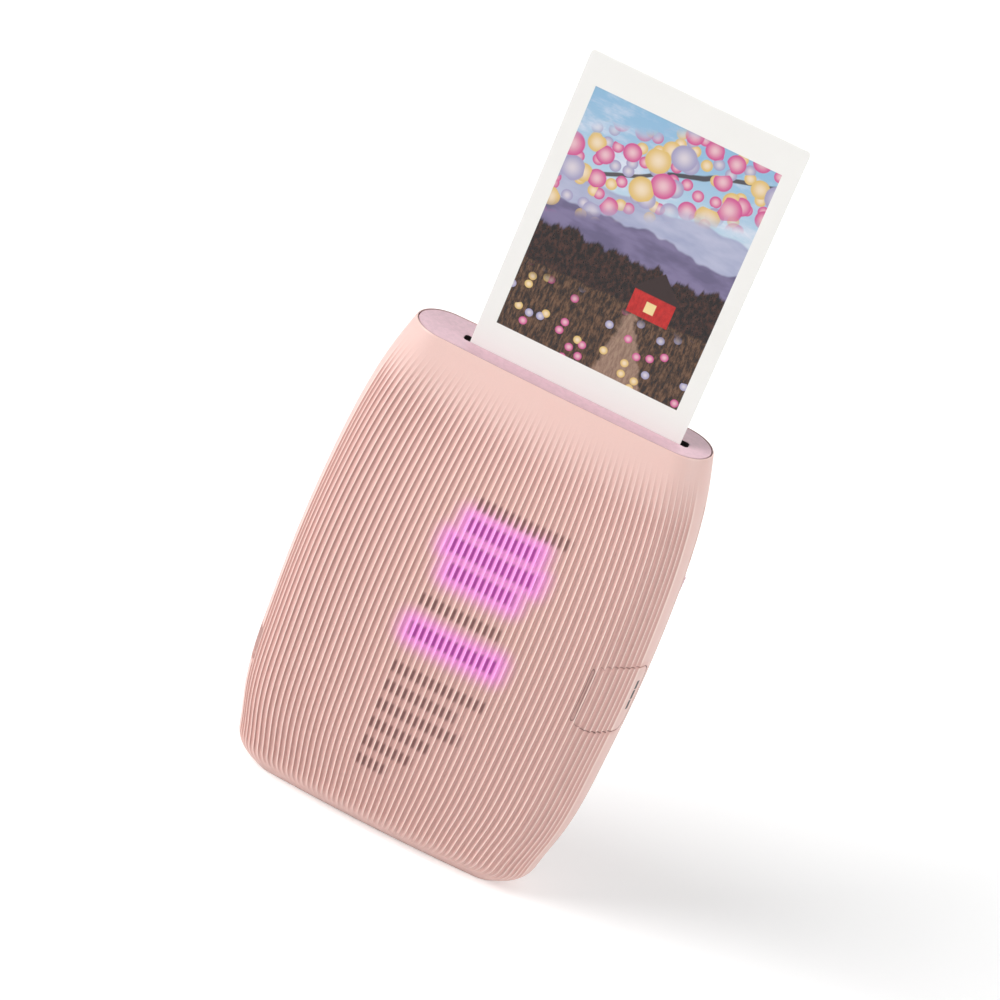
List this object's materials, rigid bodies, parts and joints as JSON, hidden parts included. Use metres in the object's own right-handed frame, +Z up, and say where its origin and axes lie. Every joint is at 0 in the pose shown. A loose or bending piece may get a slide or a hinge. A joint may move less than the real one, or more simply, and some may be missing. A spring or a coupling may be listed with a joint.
{
  "type": "compact photo printer",
  "caption": "Upright barrel-shaped pocket printer with ribbed casing, flat slotted deck, side power key, hinged film door and roller drive that lifts an instant print.",
  "frame": {"origin": "middle of the flat base that the printer stands on", "axes": "+Z up, the way the print rises; -Y towards the ribbed front that faces the camera; +X towards the side with the power key"},
  "size_m": [0.09, 0.0374, 0.2019],
  "materials": {
    "shell": "fine matte, peach pink",
    "deck": "fine matte, dusky rose",
    "button": "fine matte, peach pink",
    "dark_plastic": "moulded, matte",
    "film_plastic": "moulded, satin",
    "print_stock": "glossy instant print",
    "film_sheet": "matte back of instant film",
    "steel": "turned",
    "spring_steel": "bright",
    "bracket": "stamped, zinc plated",
    "nylon": "natural nylon",
    "bronze": "sintered",
    "board": "solder mask",
    "chip": "moulded package",
    "cell": "foil pouch",
    "foam": "closed-cell foam",
    "felt": "black felt",
    "lens": "polished",
    "lamp": "moulded lens",
    "diffuser": "milky",
    "silicone": "moulded"
  },
  "bodies": {
    "housing": {"front_shell": "shell", "rear_shell": "shell", "top_deck": "deck", "door_hinge_pin": "steel", "latch_keeper": "bracket", "case_screws": "steel", "film_pack": "film_plastic", "unexposed_sheets": "film_sheet", "film_pressure_plate": "film_plastic", "inner_frame": "dark_plastic", "frame_screws": "steel", "roller_frame": "bracket", "roller_bushes": "bronze", "idler_pin": "steel", "gear_motor": "bracket", "gear_cover": "dark_plastic", "pick_spring": "spring_steel", "light_seal": "felt", "exposure_head": "dark_plastic", "lens_array": "lens", "print_led_bar": "board", "main_board": "board", "board_components": "chip", "board_screws": "steel", "battery": "cell", "battery_pad": "foam", "usb_port": "steel", "light_board": "board", "status_leds": "lamp", "light_diffuser": "diffuser", "light_board_screws": "steel", "button_board": "board", "button_switch": "chip", "button_dome": "silicone"},
    "film_door": {"film_door": "shell", "pressure_springs": "spring_steel", "latch_spring": "spring_steel"},
    "door_latch": {"door_latch": "deck"},
    "power_button": {"power_button": "button"},
    "print_sheet": {"print_sheet": "print_stock"},
    "drive_roller": {"drive_roller": "steel", "drive_roller_gear": "nylon"},
    "pinch_roller": {"pinch_roller": "steel", "pinch_roller_gear": "nylon"},
    "idler_gear": {"idler_gear": "nylon"},
    "motor_pinion": {"motor_pinion": "bronze"},
    "pick_claw": {"pick_claw": "spring_steel"}
  },
  "joints": [
    {"name": "film_door_hinge", "type": "hinge", "parent": "housing", "child": "film_door", "pos_m": [-0.03615, 0.01363, 0.062], "axis": [0, 0, 1], "range_deg": [0, 100]},
    {"name": "door_latch_slide", "type": "slide", "parent": "film_door", "child": "door_latch", "axis": [0, 0, 1], "range_m": [0, 0.0025], "stiffness_N_per_m": 400, "deforming": ["latch_spring"]},
    {"name": "power_button_press", "type": "slide", "parent": "housing", "child": "power_button", "axis": [-1, 0, 0], "range_m": [0, 0.0006], "stiffness_N_per_m": 1000},
    {"name": "print_feed", "type": "slide", "parent": "housing", "child": "print_sheet", "axis": [0, 0, 1], "range_m": [-0.0871, 0]},
    {"name": "drive_roller_spin", "type": "hinge", "parent": "housing", "child": "drive_roller", "pos_m": [0, -0.0048, 0.1145], "axis": [1, 0, 0], "continuous": true},
    {"name": "pinch_roller_spin", "type": "hinge", "parent": "housing", "child": "pinch_roller", "pos_m": [0, 0.0003, 0.1145], "axis": [1, 0, 0], "continuous": true},
    {"name": "idler_gear_spin", "type": "hinge", "parent": "housing", "child": "idler_gear", "pos_m": [-0.0318, -0.0054, 0.10901], "axis": [1, 0, 0], "continuous": true},
    {"name": "motor_pinion_spin", "type": "hinge", "parent": "housing", "child": "motor_pinion", "pos_m": [-0.0318, -0.0071, 0.1042], "axis": [1, 0, 0], "continuous": true},
    {"name": "pick_claw_slide", "type": "slide", "parent": "housing", "child": "pick_claw", "axis": [0, 0, 1], "range_m": [0, 0.0082], "stiffness_N_per_m": 60, "deforming": ["pick_spring"]}
  ],
  "couplings": [
    {"joint": "drive_roller_spin", "follows": "print_feed", "rad_per_m": 434.78},
    {"joint": "pinch_roller_spin", "follows": "print_feed", "rad_per_m": -434.78},
    {"joint": "idler_gear_spin", "follows": "print_feed", "rad_per_m": -372.67},
    {"joint": "motor_pinion_spin", "follows": "print_feed", "rad_per_m": 521.74}
  ]
}
